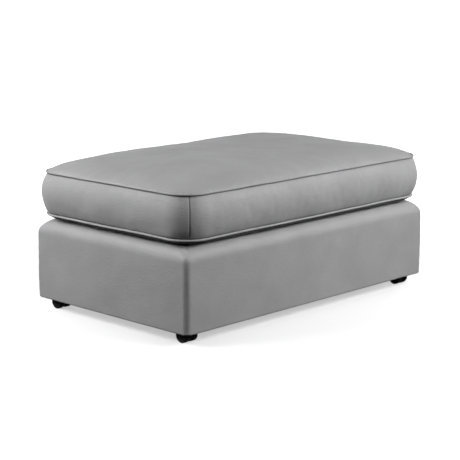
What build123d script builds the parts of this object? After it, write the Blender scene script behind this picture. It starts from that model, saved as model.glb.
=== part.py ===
from build123d import *
import math
import os

# Upholstered ottoman on castors: a box base with a spring deck, a loose welted
# box cushion with a zipped cover, and four twin-wheel swivel castors.
# Millimetres. The origin is on the floor under the middle of the ottoman,
# +X runs along its length, +Y to its back and +Z up.

os.makedirs("parts", exist_ok=True)

# Base
base_length = 1000.0
base_width = 612.0
base_corner_radius = 18.0
floor_clearance = 32.0
deck_height = 258.0
deck_edge_radius = 36.0

# Covers of base and cushion
cover_thickness = 1.5
hem_width = 22.0
deck_border_width = 75.0
dust_cover_thickness = 0.8
dust_cover_margin = 15.0
dust_cover_hole_margin = 1.7

# Padding and frame under the covers
side_padding_thickness = 5.0
edge_roll_overlap = 11.0
padding_corner_radius = 5.0
side_board_thickness = 3.0
rail_thickness = 18.0
rail_height = 182.5
centre_rail_height = 70.0
corner_block_length = 72.5
corner_block_width = 87.5
corner_block_height = 56.0

# Frame screws
screw_length = 50.0
screw_shank_radius = 2.0
screw_head_radius = 4.0
screw_head_height = 2.2
screw_end_distance = 33.0
screw_sides = 6

# Deck springs and their clips
spring_count = 6
spring_leg_count = 21
spring_wire = 3.6
spring_loop_width = 52.0
clip_thickness = 1.2
clip_width = 14.0
clip_length = 14.0
clip_setback = 2.0
clip_clearance = 0.3
deck_pad_clearance = 0.2

# Cushion
cushion_length = 989.0
cushion_width = 601.0
cushion_corner_radius = 70.0
cushion_seat_gap = 0.3
belly_drop = 17.7
belly_inset = 60.0
boxing_height = 119.0
boxing_bulge = 15.0
crown_height = 45.0
wrap_thickness = 15.0
welt_radius = 3.3

# Zip in the back boxing
zip_end_margin = 23.0
zip_recess = 6.5
zip_mouth_height = 18.0
zip_tape_height = 24.0
zip_tape_thickness = 1.0
zip_coil_height = 4.0
zip_coil_thickness = 1.4
zip_clearance = 0.3
zip_fold_thickness = 1.5
slider_length = 12.0
slider_height = 9.0
slider_thickness = 3.4
slider_stop_margin = 12.0
pull_length = 22.0
pull_height = 6.0
pull_thickness = 1.0

# Castors
castor_end_inset = 49.0
castor_side_inset = 64.0
castor_pocket_radius = 39.3
castor_pocket_height = 49.2
castor_trail = 13.0
wheel_radius = 20.0
wheel_width = 16.0
wheel_side_clearance = 0.5
wheel_chamfer = 2.5
wheel_rim_radius = 16.0
wheel_dish_depth = 1.8
wheel_cap_radius = 8.0
wheel_cap_depth = 0.6
wheel_bore_depth = 13.4
axle_radius = 3.0
axle_clearance = 0.05
axle_end_clearance = 0.3
web_thickness = 11.0
web_radius = 17.5
hood_clearance = 1.0
hood_thickness = 2.2
hood_width = 41.0
hood_back_angle = 35.0
hood_front_angle = 165.0
boss_radius = 9.0
boss_bottom = 34.0
stem_radius = 4.0
stem_clearance = 0.05
stem_seat_depth = 12.0
stem_collar_radius = 7.5
stem_collar_height = 1.4
stem_length = 36.0
socket_seat_gap = 0.2
socket_wall = 1.45
socket_flange_radius = 11.0
socket_flange_thickness = 1.2
socket_length = 38.0
socket_end_gap = 2.0

# One overrun for every cut
overrun = 5.0

# Sizes that follow from the ones above
padding_inset = cover_thickness
board_inset = padding_inset + side_padding_thickness
rail_inset = board_inset + side_board_thickness
inner_inset = rail_inset + rail_thickness
rail_bottom = floor_clearance + cover_thickness
rail_top = rail_bottom + rail_height
deck_edge_bottom = deck_height - deck_edge_radius
edge_roll_bottom = rail_top - edge_roll_overlap
spring_plane = rail_top + clip_thickness + spring_wire / 2
clip_top = spring_plane + spring_wire / 2 + clip_thickness
deck_pad_bottom = clip_top + deck_pad_clearance
cushion_bottom = deck_height + cushion_seat_gap
bottom_welt_height = cushion_bottom + belly_drop
top_welt_height = bottom_welt_height + boxing_height
boxing_middle = bottom_welt_height + boxing_height / 2
wheel_pitch = web_thickness + 2 * wheel_side_clearance + wheel_width
stem_x = base_length / 2 - castor_end_inset
stem_y = base_width / 2 - castor_side_inset
welt_depth = welt_radius * math.cos(math.radians(30))

# Share of the inset by which a padded corner gets rounder towards the top
deck_corner_growth_share = 0.8
crown_corner_growth_share = 0.6
crown_corner_limit_share = 0.9
# Shares of half the cushion's width at which the crown has a ring, and how fast it rises
crown_ring_shares = [0.05, 0.12, 0.22, 0.36, 0.54, 0.75]
crown_power = 5.5
# How much gentler the crown's slope is towards the ends than towards the sides
crown_end_share = 1.6
# Shares of half the boxing's height at which the bulge has a ring
boxing_ring_shares = [-0.64, -0.24, 0.24, 0.64]
edge_ring_count = 5
belly_ring_count = 3
corner_chords = 4
round_sides = 24
small_round_sides = 10

corner_names = {
    (-1, -1): "front_left",
    (1, -1): "front_right",
    (-1, 1): "back_left",
    (1, 1): "back_right",
}


def finish(piece, name):
    """Labels a finished piece and writes it under its own name."""
    piece.part.label = name
    export_step(piece.part, f"parts/{name}.step")


def soft_outline(length, width, radius):
    """Points of a rectangle whose corners are arcs drawn as a few chords."""
    points = []
    for corner, (sx, sy) in enumerate([(1, 1), (-1, 1), (-1, -1), (1, -1)]):
        for chord in range(corner_chords + 1):
            turn = math.radians(90) * (corner + chord / corner_chords)
            points.append(
                (
                    sx * (length / 2 - radius) + radius * math.cos(turn),
                    sy * (width / 2 - radius) + radius * math.sin(turn),
                )
            )
    return points


def ring_form(rings):
    """A closed form through level soft-cornered rectangles: length, width, radius, height."""
    outlines = []
    for length, width, radius, height in rings:
        outlines.append([(x, y, height) for x, y in soft_outline(length, width, radius)])
    faces = [Face(Wire.make_polygon(outlines[0])), Face(Wire.make_polygon(outlines[-1]))]
    for low, high in zip(outlines, outlines[1:]):
        for index in range(len(low)):
            corners = [low[index - 1], low[index], high[index], high[index - 1]]
            faces.append(Face(Wire.make_polygon(corners)))
    return Solid(Shell(faces))


def box_between(size_x, size_y, low, high):
    """An upright block round the Z axis."""
    with BuildPart() as block:
        with BuildSketch(Plane.XY.offset(low)):
            Rectangle(size_x, size_y)
        extrude(amount=high - low)
    return block.part


def soft_block(inset_from, inset, radius, low, high):
    """An upright soft-cornered block, inset from a length and a width."""
    length, width = inset_from
    with BuildPart() as block:
        with BuildSketch(Plane.XY.offset(low)):
            Polygon(*soft_outline(length - 2 * inset, width - 2 * inset, radius), align=None)
        extrude(amount=high - low)
    return block.part


def base_form(depth, bottom):
    """The padded outside of the base, a given depth under the cover's outer face."""
    edge_radius = deck_edge_radius - depth
    corner = base_corner_radius - depth
    length = base_length - 2 * depth
    width = base_width - 2 * depth
    rings = [(length, width, corner, bottom)]
    for step in range(edge_ring_count + 1):
        turn = math.radians(90) * step / edge_ring_count
        inset = edge_radius * (1 - math.cos(turn))
        radius = corner + deck_corner_growth_share * inset
        height = deck_edge_bottom + edge_radius * math.sin(turn)
        rings.append((length - 2 * inset, width - 2 * inset, radius, height))
    return ring_form(rings)


def cushion_ring(inset, radius, height):
    """One level ring of the cushion, inset from the line of its seams."""
    return (cushion_length - 2 * inset, cushion_width - 2 * inset, radius, height)


def seam_rings(height, depth, above):
    """Rings of the groove that a welt lies in, from its middle up or from below to its middle."""
    direction = 1 if above else -1
    rings = []
    for inset, rise in ((welt_depth, 0), (welt_depth, welt_radius / 2), (0, welt_radius)):
        radius = cushion_corner_radius - inset - depth
        rings.append(cushion_ring(inset + depth, radius, height + direction * rise))
    return rings if above else rings[::-1]


def belly_rings(depth):
    """The cushion's underside, from its flat up to the bottom welt."""
    rings = []
    drop = belly_drop - welt_radius
    for step in range(belly_ring_count):
        turn = math.radians(90) * (1 - step / belly_ring_count)
        inset = belly_inset * (1 - math.cos(turn))
        radius = cushion_corner_radius - depth + crown_corner_growth_share * inset
        height = bottom_welt_height - welt_radius - drop * math.sin(turn) + depth
        rings.append(cushion_ring(inset + depth, radius, height))
    return rings + seam_rings(bottom_welt_height, depth, above=False)


def boxing_rings(depth):
    """The cushion's bulging side, from the bottom welt to the top welt."""
    rings = seam_rings(bottom_welt_height, depth, above=True)
    for share in boxing_ring_shares:
        swell = boxing_bulge * (1 - share**2)
        height = boxing_middle + share * (boxing_height / 2 - welt_radius)
        rings.append(cushion_ring(depth - swell, cushion_corner_radius + swell - depth, height))
    return rings + seam_rings(top_welt_height, depth, above=False)


def crown_rings(depth):
    """The cushion's crown, from the top welt up to its middle."""
    rings = seam_rings(top_welt_height, depth, above=True)
    rise = crown_height - welt_radius
    for share in crown_ring_shares:
        inset = share * cushion_width / 2
        widest = crown_corner_limit_share * (cushion_width / 2 - inset - depth)
        radius = min(cushion_corner_radius - depth + crown_corner_growth_share * inset, widest)
        height = top_welt_height + welt_radius + rise * (1 - (1 - share) ** crown_power) - depth
        length = cushion_length - 2 * (crown_end_share * inset + depth)
        rings.append((length, cushion_width - 2 * (inset + depth), radius, height))
    return rings


def side_wedges(length, width, low, high):
    """Four regions that meet on the corner diagonals: front, back, left and right."""
    half_x = length / 2 + overrun
    half_y = width / 2 + overrun
    ridge = half_x - half_y
    outlines = {
        "front": [(-half_x, -half_y), (half_x, -half_y), (ridge, 0), (-ridge, 0)],
        "back": [(half_x, half_y), (-half_x, half_y), (-ridge, 0), (ridge, 0)],
        "left": [(-half_x, half_y), (-half_x, -half_y), (-ridge, 0)],
        "right": [(half_x, -half_y), (half_x, half_y), (ridge, 0)],
    }
    wedges = {}
    for side, points in outlines.items():
        with BuildPart() as wedge:
            with BuildSketch(Plane.XY.offset(low)):
                Polygon(*points, align=None)
            extrude(amount=high - low)
        wedges[side] = wedge.part
    return wedges


def stem_columns(radius, sides, low, high):
    """One upright many-sided column round each castor stem."""
    with BuildPart() as columns:
        with BuildSketch(Plane.XY.offset(low)):
            with Locations(*[(sx * stem_x, sy * stem_y) for sx, sy in corner_names]):
                RegularPolygon(radius, sides)
        extrude(amount=high - low)
    return columns.part


# Frame of the base
castor_pockets = stem_columns(
    castor_pocket_radius,
    round_sides,
    floor_clearance - overrun,
    castor_pocket_height,
)
socket_bore_radius = stem_radius + stem_clearance
socket_radius = socket_bore_radius + socket_wall
socket_bores = stem_columns(
    socket_radius,
    small_round_sides,
    castor_pocket_height - overrun,
    castor_pocket_height + socket_length + socket_end_gap,
)
frame_length = base_length - 2 * rail_inset
frame_width = base_width - 2 * rail_inset

# Each screw goes through a long rail into the end of an end rail or of the centre rail
end_rail_centre = frame_length / 2 - rail_thickness / 2
corner_screw_heights = [castor_pocket_height + screw_end_distance, rail_top - screw_end_distance]
centre_screw_height = rail_bottom + centre_rail_height / 2
screw_places = [(sx * end_rail_centre, height) for sx in (-1, 1) for height in corner_screw_heights]
screw_places.append((0, centre_screw_height))

with BuildPart() as frame_screws:
    for side in (-1, 1):
        for x, height in screw_places:
            head_plane = Plane(origin=(x, side * frame_width / 2, height), x_dir=(1, 0, 0), z_dir=(0, side, 0))
            for depth, radius in (
                (0, screw_head_radius),
                (screw_head_height, screw_shank_radius),
                (screw_length, screw_shank_radius),
            ):
                with BuildSketch(head_plane.offset(-depth)):
                    RegularPolygon(radius, screw_sides)
            loft(ruled=True)
finish(frame_screws, "frame_screws")

for side, name in ((-1, "front_rail"), (1, "back_rail")):
    with BuildPart() as long_rail:
        with BuildSketch(Plane.XY.offset(rail_bottom)):
            with Locations((0, side * (frame_width - rail_thickness) / 2)):
                Rectangle(frame_length, rail_thickness)
        extrude(amount=rail_height)
        add(castor_pockets, mode=Mode.SUBTRACT)
        add(frame_screws.part, mode=Mode.SUBTRACT)
    finish(long_rail, name)

for side, name in ((-1, "left_rail"), (1, "right_rail")):
    with BuildPart() as end_rail:
        with BuildSketch(Plane.XY.offset(rail_bottom)):
            with Locations((side * (frame_length - rail_thickness) / 2, 0)):
                Rectangle(rail_thickness, frame_width - 2 * rail_thickness)
        extrude(amount=rail_height)
        add(castor_pockets, mode=Mode.SUBTRACT)
        add(frame_screws.part, mode=Mode.SUBTRACT)
    finish(end_rail, name)

with BuildPart() as centre_rail:
    with BuildSketch(Plane.XY.offset(rail_bottom)):
        Rectangle(rail_thickness, frame_width - 2 * rail_thickness)
    extrude(amount=centre_rail_height)
    add(frame_screws.part, mode=Mode.SUBTRACT)
finish(centre_rail, "centre_rail")

block_x = base_length / 2 - inner_inset - corner_block_length / 2
block_y = base_width / 2 - inner_inset - corner_block_width / 2
for (sx, sy), corner in corner_names.items():
    with BuildPart() as corner_block:
        with BuildSketch(Plane.XY.offset(rail_bottom)):
            with Locations((sx * block_x, sy * block_y)):
                Rectangle(corner_block_length, corner_block_width)
        extrude(amount=corner_block_height)
        add(castor_pockets, mode=Mode.SUBTRACT)
        add(socket_bores, mode=Mode.SUBTRACT)
    finish(corner_block, f"corner_block_{corner}")

# Deck springs: flat zigzag wire from front to back, its end legs held in the clips
clip_outer_y = frame_width / 2 - clip_setback
spring_reach = clip_outer_y - clip_thickness - spring_wire / 2
leg_pitch = 2 * spring_reach / (spring_leg_count - 1)
spring_pitch = (frame_length - 2 * rail_thickness) / spring_count
spring_places = [(index - (spring_count - 1) / 2) * spring_pitch for index in range(spring_count)]
loop_half = spring_loop_width / 2

spring_points = [(loop_half, -spring_reach)]
for leg in range(spring_leg_count - 1):
    side = 1 if leg % 2 else -1
    y = -spring_reach + leg * leg_pitch
    spring_points.append((side * loop_half, y))
    spring_points.append((side * loop_half, y + leg_pitch))
spring_points.append((-side * loop_half, spring_reach))

with BuildPart() as sinuous_springs:
    with BuildSketch(Plane.XY.offset(spring_plane - spring_wire / 2)):
        for x in spring_places:
            with BuildLine():
                Polyline(*[(x + point_x, point_y) for point_x, point_y in spring_points])
            trace(line_width=spring_wire)
    extrude(amount=spring_wire)
finish(sinuous_springs, "sinuous_springs")

# Each clip is a strip bent back over the wire, drawn from the side as a C
with BuildPart() as spring_clips:
    for side in (-1, 1):
        for x in spring_places:
            clip_plane = Plane(origin=(x, side * clip_outer_y, rail_top), x_dir=(0, -side, 0), z_dir=(-side, 0, 0))
            with BuildSketch(clip_plane):
                Rectangle(clip_length, clip_top - rail_top, align=(Align.MIN, Align.MIN))
                with Locations((clip_thickness, clip_thickness)):
                    Rectangle(clip_length, spring_wire, align=(Align.MIN, Align.MIN), mode=Mode.SUBTRACT)
            extrude(amount=clip_width / 2, both=True)
finish(spring_clips, "spring_clips")

# Soft layers of the base
base_size = (base_length, base_width)
under_cover = base_form(padding_inset, rail_bottom)

with BuildPart() as side_boards:
    board_end = padding_inset + side_padding_thickness + padding_corner_radius
    board_centre_x = base_length / 2 - board_inset - side_board_thickness / 2
    board_centre_y = base_width / 2 - board_inset - side_board_thickness / 2
    with BuildSketch(Plane.XY.offset(rail_bottom)):
        with Locations((0, -board_centre_y), (0, board_centre_y)):
            Rectangle(base_length - 2 * board_end, side_board_thickness)
        with Locations((-board_centre_x, 0), (board_centre_x, 0)):
            Rectangle(side_board_thickness, base_width - 2 * board_end)
    extrude(amount=rail_height)
finish(side_boards, "side_boards")

padding_corner = base_corner_radius - padding_inset
with BuildPart() as side_padding:
    add(soft_block(base_size, padding_inset, padding_corner, rail_bottom, edge_roll_bottom))
    add(
        soft_block(base_size, board_inset, padding_corner_radius, rail_bottom, edge_roll_bottom),
        mode=Mode.SUBTRACT,
    )
finish(side_padding, "side_padding")

board_block = soft_block(
    base_size,
    board_inset,
    padding_corner_radius,
    edge_roll_bottom - overrun,
    rail_top,
)
deck_well = box_between(
    base_length - 2 * inner_inset,
    base_width - 2 * inner_inset,
    rail_top - overrun,
    deck_height + overrun,
)
with BuildPart() as edge_roll:
    add(base_form(padding_inset, edge_roll_bottom - overrun))
    add(
        box_between(base_length, base_width, edge_roll_bottom - 2 * overrun, edge_roll_bottom),
        mode=Mode.SUBTRACT,
    )
    add(board_block, mode=Mode.SUBTRACT)
    add(deck_well, mode=Mode.SUBTRACT)
    with BuildSketch(Plane.XY.offset(rail_top)):
        for side in (-1, 1):
            with Locations(*[(x, side * (clip_outer_y + clip_clearance)) for x in spring_places]):
                Rectangle(
                    spring_loop_width + spring_wire + 2 * clip_clearance,
                    rail_thickness,
                    align=(Align.CENTER, Align.MIN if side < 0 else Align.MAX),
                )
    extrude(amount=clip_top + clip_clearance - rail_top, mode=Mode.SUBTRACT)
finish(edge_roll, "edge_roll")

with BuildPart() as deck_pad:
    add(under_cover)
    with BuildSketch(Plane.XY.offset(deck_pad_bottom)):
        Rectangle(base_length - 2 * inner_inset, base_width - 2 * inner_inset)
    extrude(amount=deck_height - deck_pad_bottom, mode=Mode.INTERSECT)
finish(deck_pad, "deck_pad")

# Cover of the base: four panels that meet at the corner seams, with a hem turned
# in under the rails and a border over the deck's edge
cover_outside = base_form(0, floor_clearance)
deck_opening = soft_block(
    base_size,
    deck_border_width,
    deck_edge_radius,
    deck_height - cover_thickness - overrun,
    deck_height + overrun,
)
hem_opening = box_between(
    base_length - 2 * hem_width,
    base_width - 2 * hem_width,
    floor_clearance - overrun,
    floor_clearance + cover_thickness + overrun,
)
cover_wedges = side_wedges(base_length, base_width, floor_clearance, deck_height)
for side, wedge in cover_wedges.items():
    with BuildPart() as cover_panel:
        add(cover_outside)
        add(under_cover, mode=Mode.SUBTRACT)
        add(deck_opening, mode=Mode.SUBTRACT)
        add(hem_opening, mode=Mode.SUBTRACT)
        add(castor_pockets, mode=Mode.SUBTRACT)
        add(wedge, mode=Mode.INTERSECT)
    finish(cover_panel, f"cover_{side}")

with BuildPart() as deck_cloth:
    add(
        soft_block(
            base_size,
            deck_border_width,
            deck_edge_radius,
            deck_height - cover_thickness,
            deck_height,
        )
    )
finish(deck_cloth, "deck_cloth")

with BuildPart() as dust_cover:
    with BuildSketch(Plane.XY.offset(floor_clearance - dust_cover_thickness)):
        Rectangle(base_length - 2 * dust_cover_margin, base_width - 2 * dust_cover_margin)
        with Locations(*[(sx * stem_x, sy * stem_y) for sx, sy in corner_names]):
            RegularPolygon(castor_pocket_radius + dust_cover_hole_margin, round_sides, mode=Mode.SUBTRACT)
    extrude(amount=dust_cover_thickness)
finish(dust_cover, "dust_cover")

# Cushion filling and cover
skin_length = cushion_length + 2 * boxing_bulge + 2 * overrun
skin_width = cushion_width + 2 * boxing_bulge + 2 * overrun
core_inset = cover_thickness + wrap_thickness
cushion_core_block = soft_block(
    (cushion_length, cushion_width),
    core_inset,
    cushion_corner_radius - core_inset,
    cushion_bottom + core_inset,
    top_welt_height,
)

# The zip lies in a shallow channel along the straight part of the back boxing
zip_half_length = cushion_length / 2 - cushion_corner_radius - zip_end_margin
zip_face_y = cushion_width / 2 + boxing_bulge - zip_recess
fold_depth = zip_recess - cover_thickness
with BuildPart() as zip_channel:
    with BuildSketch(Plane.XZ.offset(-(zip_face_y - zip_tape_thickness - zip_clearance))):
        with Locations((0, boxing_middle)):
            Rectangle(2 * zip_half_length + 2 * zip_clearance, zip_tape_height + 2 * zip_clearance)
    extrude(amount=-(zip_recess + overrun))

with BuildPart() as cushion_core:
    add(cushion_core_block)
finish(cushion_core, "cushion_core")

inner_boxing = boxing_rings(cover_thickness)
with BuildPart() as cushion_wrap:
    add(ring_form(belly_rings(cover_thickness) + inner_boxing[1:-1] + crown_rings(cover_thickness)))
    add(cushion_core_block, mode=Mode.SUBTRACT)
    add(zip_channel.part, mode=Mode.SUBTRACT)
finish(cushion_wrap, "cushion_wrap")

for name, rings in (("cushion_top_panel", crown_rings), ("cushion_bottom_panel", belly_rings)):
    with BuildPart() as panel:
        add(ring_form(rings(0)))
        add(ring_form(rings(cover_thickness)), mode=Mode.SUBTRACT)
    finish(panel, name)

with BuildPart() as boxing_band:
    add(ring_form(boxing_rings(0)))
    add(ring_form(inner_boxing), mode=Mode.SUBTRACT)

with BuildPart() as zip_region:
    with BuildSketch(Plane.XY.offset(bottom_welt_height)):
        Rectangle(2 * zip_half_length, skin_width / 2, align=(Align.CENTER, Align.MIN))
    extrude(amount=boxing_height)

boxing_wedges = side_wedges(
    cushion_length + 2 * boxing_bulge,
    cushion_width + 2 * boxing_bulge,
    bottom_welt_height,
    top_welt_height,
)
with BuildPart() as boxing_front:
    add(boxing_band.part)
    add(boxing_wedges["front"], mode=Mode.INTERSECT)
finish(boxing_front, "boxing_front")

for side in ("left", "right"):
    half = -1 if side == "left" else 1
    with BuildPart() as boxing_end:
        add(boxing_band.part)
        with BuildSketch(Plane.XY.offset(bottom_welt_height)):
            with Locations((half * skin_length / 4, 0)):
                Rectangle(skin_length / 2, skin_width)
        extrude(amount=boxing_height, mode=Mode.INTERSECT)
        add(boxing_wedges["front"], mode=Mode.SUBTRACT)
        add(zip_region.part, mode=Mode.SUBTRACT)
    finish(boxing_end, f"boxing_{side}")

# The two back strips are folded in along the zip, down to its tape
for name, direction in (("boxing_back_upper", 1), ("boxing_back_lower", -1)):
    with BuildPart() as strip:
        add(boxing_band.part)
        add(zip_region.part, mode=Mode.INTERSECT)
        with BuildSketch(Plane.XZ.offset(wrap_thickness - cushion_width / 2)):
            with Locations((0, boxing_middle + direction * zip_mouth_height / 2)):
                Rectangle(
                    cushion_length,
                    boxing_height,
                    align=(Align.CENTER, Align.MAX if direction > 0 else Align.MIN),
                )
        extrude(amount=-(wrap_thickness + boxing_bulge + overrun), mode=Mode.SUBTRACT)
        with BuildSketch(Plane.XZ.offset(-zip_face_y)):
            with Locations((0, boxing_middle + direction * zip_mouth_height / 2)):
                Rectangle(
                    2 * zip_half_length,
                    zip_fold_thickness,
                    align=(Align.CENTER, Align.MIN if direction > 0 else Align.MAX),
                )
        extrude(amount=-fold_depth)
    finish(strip, name)

with BuildPart() as zip_chain:
    with BuildSketch(Plane.XZ.offset(-(zip_face_y - zip_tape_thickness))):
        with Locations((0, boxing_middle)):
            Rectangle(2 * zip_half_length, zip_tape_height)
    extrude(amount=-zip_tape_thickness)
    with BuildSketch(Plane.XZ.offset(-zip_face_y)):
        with Locations((0, boxing_middle)):
            Rectangle(2 * zip_half_length, zip_coil_height)
    extrude(amount=-zip_coil_thickness)
finish(zip_chain, "zip_chain")

# The slider straddles the coil at the closed end, and its pull lies along the zip
slider_x = zip_half_length - slider_stop_margin - slider_length / 2
slider_face_y = zip_face_y + zip_clearance
with BuildPart() as zip_slider:
    with BuildSketch(Plane.XZ.offset(-slider_face_y)):
        with Locations((slider_x, boxing_middle)):
            Rectangle(slider_length, slider_height)
    extrude(amount=-slider_thickness)
    with BuildSketch(Plane.XZ.offset(-slider_face_y)):
        with Locations((slider_x, boxing_middle)):
            Rectangle(slider_length, zip_coil_height + 2 * zip_clearance)
    extrude(amount=-zip_coil_thickness, mode=Mode.SUBTRACT)
    with BuildSketch(Plane.XZ.offset(-(slider_face_y + slider_thickness))):
        with Locations((slider_x + slider_length / 2, boxing_middle)):
            Rectangle(pull_length, pull_height, align=(Align.MAX, Align.CENTER))
    extrude(amount=-pull_thickness)
    pull_tip = zip_slider.edges().filter_by(Axis.Y).sort_by(Axis.X)[:2]
    chamfer(pull_tip, length=pull_height / 3)
finish(zip_slider, "zip_slider")

# Welts: a corded edge sewn into each seam of the cushion, drawn with six sides
for name, height in (("top_welt", top_welt_height), ("bottom_welt", bottom_welt_height)):
    halves = []
    for direction in (-1, 1):
        rings = []
        for inset, rise in (
            (0, -welt_radius),
            (direction * welt_depth, -welt_radius / 2),
            (direction * welt_depth, welt_radius / 2),
            (0, welt_radius),
        ):
            rings.append(cushion_ring(inset, cushion_corner_radius - inset, height + rise))
        halves.append(ring_form(rings))
    with BuildPart() as welt:
        add(halves[0])
        add(halves[1], mode=Mode.SUBTRACT)
    finish(welt, name)

# Castors. Each is drawn from its side, with the stem at the left and the axle
# trailing it towards the ottoman's long side.
flange_bottom = castor_pocket_height - socket_flange_thickness
collar_top = flange_bottom - socket_seat_gap
boss_top = collar_top - stem_collar_height
stem_foot = boss_top - stem_seat_depth
hood_radius = wheel_radius + hood_clearance + hood_thickness
wheel_face = web_thickness / 2 + wheel_side_clearance
axle_half_length = wheel_face + wheel_bore_depth - axle_end_clearance
wheel_bore_radius = axle_radius + axle_clearance


def hood_sector():
    """The sector of the wheel's circle that the hood covers, as polygon points."""
    far = 2 * hood_radius
    back = math.radians(hood_back_angle)
    front = math.radians(hood_front_angle)
    return [
        (0, 0),
        (far * math.cos(back), far * math.sin(back)),
        (far * math.cos(back), far),
        (far * math.cos(front), far),
        (far * math.cos(front), far * math.sin(front)),
    ]


for (sx, sy), corner in corner_names.items():
    stem_foot_point = (sx * stem_x, sy * stem_y, 0)
    side_plane = Plane(origin=stem_foot_point, x_dir=(0, sy, 0), z_dir=(sy, 0, 0))
    top_plane = Plane(origin=stem_foot_point, x_dir=(1, 0, 0), z_dir=(0, 0, 1))
    axle_place = (castor_trail, wheel_radius)

    with BuildPart() as housing:
        with BuildSketch(side_plane):
            with Locations(axle_place):
                RegularPolygon(hood_radius, round_sides)
                RegularPolygon(hood_radius - hood_thickness, round_sides, mode=Mode.SUBTRACT)
                Polygon(*hood_sector(), align=None, mode=Mode.INTERSECT)
        extrude(amount=hood_width / 2, both=True)
        with BuildSketch(top_plane.offset(boss_bottom)):
            RegularPolygon(boss_radius, small_round_sides)
        extrude(amount=boss_top - boss_bottom)
        with BuildSketch(side_plane):
            with Locations(axle_place):
                RegularPolygon(hood_radius - hood_thickness, round_sides)
        extrude(amount=hood_width, both=True, mode=Mode.SUBTRACT)
        with BuildSketch(side_plane):
            with Locations(axle_place):
                RegularPolygon(hood_radius - hood_thickness / 2, round_sides)
                Polygon(*hood_sector(), align=None, mode=Mode.INTERSECT)
                RegularPolygon(web_radius, round_sides)
            with Locations((0, boss_top)):
                Rectangle(2 * boss_radius, boss_top - wheel_radius, align=(Align.CENTER, Align.MAX))
            with Locations(axle_place):
                Circle(axle_radius, mode=Mode.SUBTRACT)
        extrude(amount=web_thickness / 2, both=True)
        with BuildSketch(top_plane.offset(stem_foot)):
            RegularPolygon(stem_radius, small_round_sides)
        extrude(amount=boss_top - stem_foot, mode=Mode.SUBTRACT)
    finish(housing, f"castor_housing_{corner}")

    with BuildPart() as stem:
        with BuildSketch(top_plane.offset(stem_foot)):
            RegularPolygon(stem_radius, small_round_sides)
        extrude(amount=stem_seat_depth)
        with BuildSketch(top_plane.offset(boss_top)):
            RegularPolygon(stem_collar_radius, small_round_sides)
        extrude(amount=stem_collar_height)
        with BuildSketch(top_plane.offset(collar_top)):
            Circle(stem_radius)
        extrude(amount=stem_length)
    finish(stem, f"castor_stem_{corner}")

    with BuildPart() as socket:
        with BuildSketch(top_plane.offset(flange_bottom)):
            RegularPolygon(socket_flange_radius, small_round_sides)
        extrude(amount=socket_flange_thickness)
        with BuildSketch(top_plane.offset(castor_pocket_height)):
            RegularPolygon(socket_radius, small_round_sides)
        extrude(amount=socket_length)
        with BuildSketch(top_plane.offset(flange_bottom)):
            Circle(socket_bore_radius)
        extrude(amount=socket_flange_thickness + socket_length, mode=Mode.SUBTRACT)
    finish(socket, f"castor_socket_{corner}")

    with BuildPart() as axle:
        with BuildSketch(side_plane):
            with Locations(axle_place):
                Circle(axle_radius)
        extrude(amount=axle_half_length, both=True)
    finish(axle, f"castor_axle_{corner}")

    # The outer wheel is the one nearer the ottoman's end. One corner of its
    # outline points straight down, so that the wheel stands on the floor.
    for wheel_side, wheel_name in ((sx, "outer"), (-sx, "inner")):
        wheel_origin = (
            sx * stem_x + wheel_side * wheel_face,
            sy * (stem_y + castor_trail),
            wheel_radius,
        )
        wheel_tread_x = sx * stem_x + wheel_side * (wheel_face + wheel_width)
        wheel_plane = Plane(origin=wheel_origin, x_dir=(0, 0, -1), z_dir=(wheel_side, 0, 0))
        with BuildPart() as wheel:
            with BuildSketch(wheel_plane):
                RegularPolygon(wheel_radius, round_sides)
            extrude(amount=wheel_width)
            rim_edges = wheel.edges().filter_by_position(Axis.X, wheel_tread_x, wheel_tread_x)
            chamfer(rim_edges, length=wheel_chamfer)
            with BuildSketch(wheel_plane.offset(wheel_width)):
                RegularPolygon(wheel_rim_radius, round_sides)
            extrude(amount=-wheel_dish_depth, mode=Mode.SUBTRACT)
            with BuildSketch(wheel_plane.offset(wheel_width - wheel_dish_depth)):
                RegularPolygon(wheel_cap_radius, small_round_sides)
            extrude(amount=wheel_dish_depth - wheel_cap_depth)
            with BuildSketch(wheel_plane):
                Circle(wheel_bore_radius)
            extrude(amount=wheel_bore_depth, mode=Mode.SUBTRACT)
        finish(wheel, f"wheel_{wheel_name}_{corner}")
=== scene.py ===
"""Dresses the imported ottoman: leather covers, welts, zip, castors, cloths and a studio.

Lengths are in metres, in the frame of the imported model: +X along the ottoman,
+Y to its back, where the zip is, and +Z up from the floor.
"""

import math

import bmesh
import bpy
import numpy as np
from mathutils import Matrix, Vector


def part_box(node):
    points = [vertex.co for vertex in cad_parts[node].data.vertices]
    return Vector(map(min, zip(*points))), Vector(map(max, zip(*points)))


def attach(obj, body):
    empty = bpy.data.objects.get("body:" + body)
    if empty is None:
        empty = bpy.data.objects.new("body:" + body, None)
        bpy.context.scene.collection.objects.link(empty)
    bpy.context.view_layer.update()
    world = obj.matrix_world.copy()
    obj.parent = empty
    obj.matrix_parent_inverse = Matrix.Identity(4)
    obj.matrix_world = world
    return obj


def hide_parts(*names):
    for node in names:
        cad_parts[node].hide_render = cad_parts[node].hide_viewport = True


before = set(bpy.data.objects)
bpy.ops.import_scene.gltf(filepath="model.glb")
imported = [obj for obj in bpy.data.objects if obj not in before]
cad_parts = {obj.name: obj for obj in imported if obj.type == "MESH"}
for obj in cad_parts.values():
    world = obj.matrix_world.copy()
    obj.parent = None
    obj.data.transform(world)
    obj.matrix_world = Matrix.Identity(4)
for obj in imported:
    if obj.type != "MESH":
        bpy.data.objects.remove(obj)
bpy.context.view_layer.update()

MM = 0.001
UP, DOWN = (0, 0, 1), (0, 0, -1)

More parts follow.
